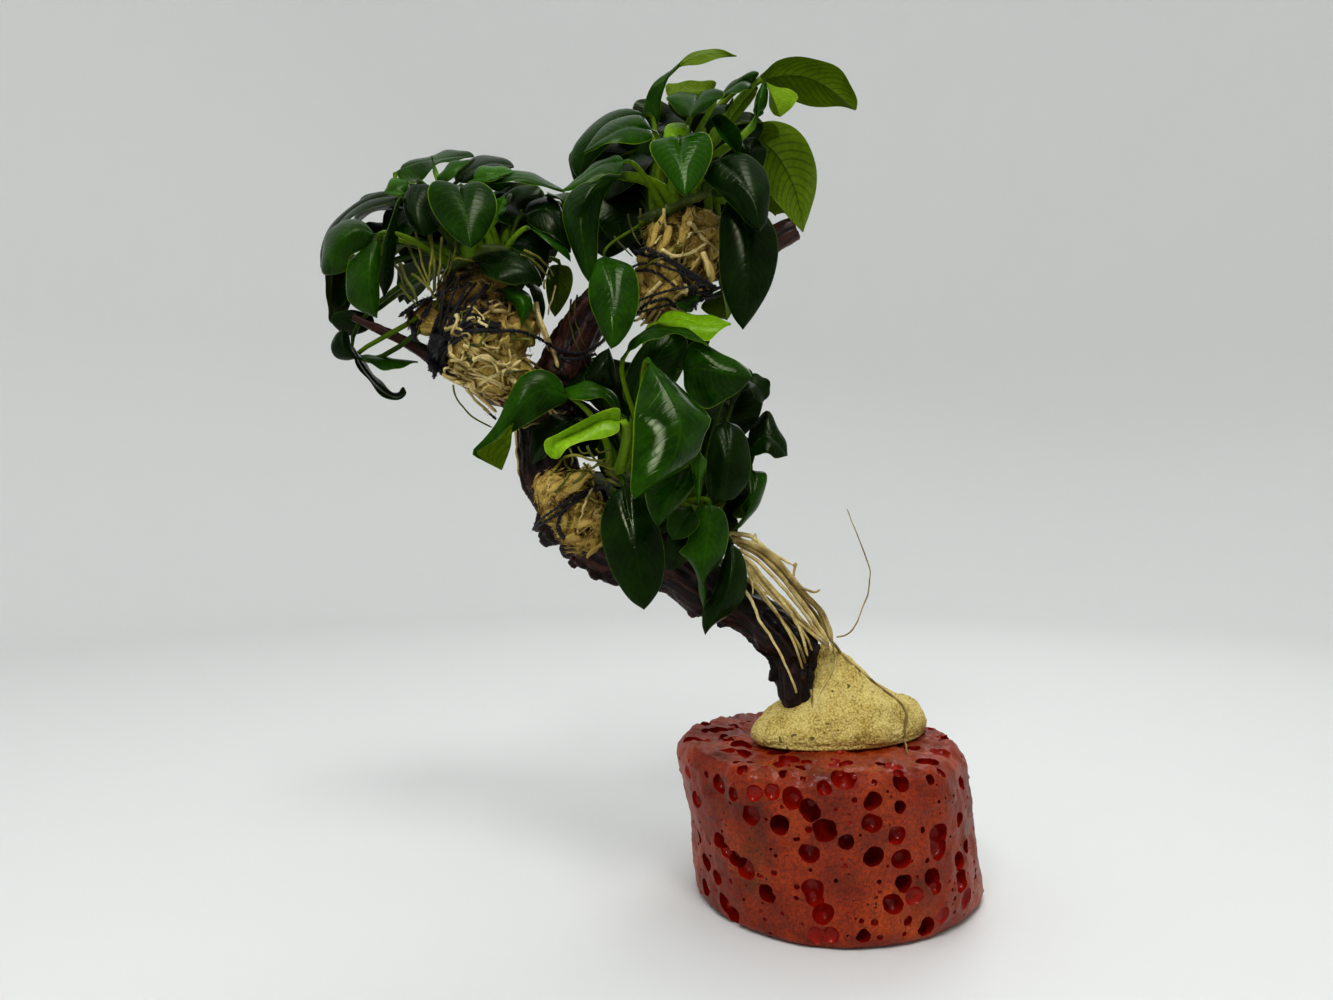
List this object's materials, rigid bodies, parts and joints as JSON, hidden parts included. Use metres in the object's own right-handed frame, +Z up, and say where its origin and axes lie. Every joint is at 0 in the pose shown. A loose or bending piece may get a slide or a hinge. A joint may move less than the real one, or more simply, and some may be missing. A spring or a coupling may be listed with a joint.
{
  "type": "anubias bonsai",
  "caption": "Dwarf anubias plants with leathery green leaves, tied with dark thread onto branching driftwood that stands in a round pitted red stone base.",
  "frame": {"origin": "middle of the stone base's flat underside", "axes": "+Z up, the trunk's direction; the front looks along -Y; +X to the right as seen from the front"},
  "size_m": [0.2276, 0.0987, 0.2777],
  "materials": {
    "driftwood": "wet dark driftwood with lengthwise grain",
    "base_stone": "wet brick-red pitted stone",
    "foam": "pale yellow open-cell foam",
    "wool": "tan fibrous planting wool",
    "thread": "fuzzy black cotton thread",
    "root": "cream roots, satin when wet",
    "rhizome": "smooth green creeping stem",
    "leaf": "deep green leathery leaf, wet gloss",
    "young_leaf": "yellow-green young leaf, wet gloss"
  },
  "bodies": {
    "root": {"base_stone": "base_stone", "foam_wedge": "foam", "driftwood_trunk": "driftwood", "driftwood_upper_branch": "driftwood", "driftwood_left_branch": "driftwood", "wool_left": "wool", "wool_top": "wool", "wool_middle": "wool", "rhizome_left": "rhizome", "rhizome_top": "rhizome", "rhizome_middle": "rhizome", "thread_left": "thread", "thread_top": "thread", "thread_middle": "thread", "thread_bridge": "thread", "hanging_roots": "root", "leaf_left_01": "leaf", "leaf_left_02": "leaf", "leaf_left_03": "leaf", "leaf_left_04": "leaf", "leaf_left_05": "leaf", "leaf_left_06": "leaf", "leaf_left_07": "leaf", "leaf_left_08": "leaf", "leaf_left_09": "leaf", "leaf_left_10": "leaf", "leaf_left_11": "leaf", "leaf_left_12": "leaf", "leaf_left_13": "leaf", "leaf_left_14": "leaf", "leaf_left_15": "leaf", "leaf_top_01": "leaf", "leaf_top_02": "leaf", "leaf_top_03": "leaf", "leaf_top_04": "leaf", "leaf_top_05": "leaf", "leaf_top_06": "leaf", "leaf_top_07": "leaf", "leaf_top_08": "leaf", "leaf_top_09": "leaf", "leaf_top_10": "leaf", "leaf_top_11": "leaf", "leaf_top_12": "leaf", "leaf_top_13": "leaf", "leaf_top_14": "leaf", "leaf_middle_01": "young_leaf", "leaf_middle_02": "leaf", "leaf_middle_03": "leaf", "leaf_middle_04": "leaf", "leaf_middle_05": "leaf", "leaf_middle_06": "leaf", "leaf_middle_07": "leaf", "leaf_middle_08": "young_leaf", "leaf_middle_09": "leaf", "leaf_middle_10": "leaf", "leaf_middle_11": "leaf", "leaf_middle_12": "leaf", "leaf_middle_13": "leaf", "leaf_middle_14": "leaf", "leaf_middle_15": "leaf"}
  },
  "joints": []
}
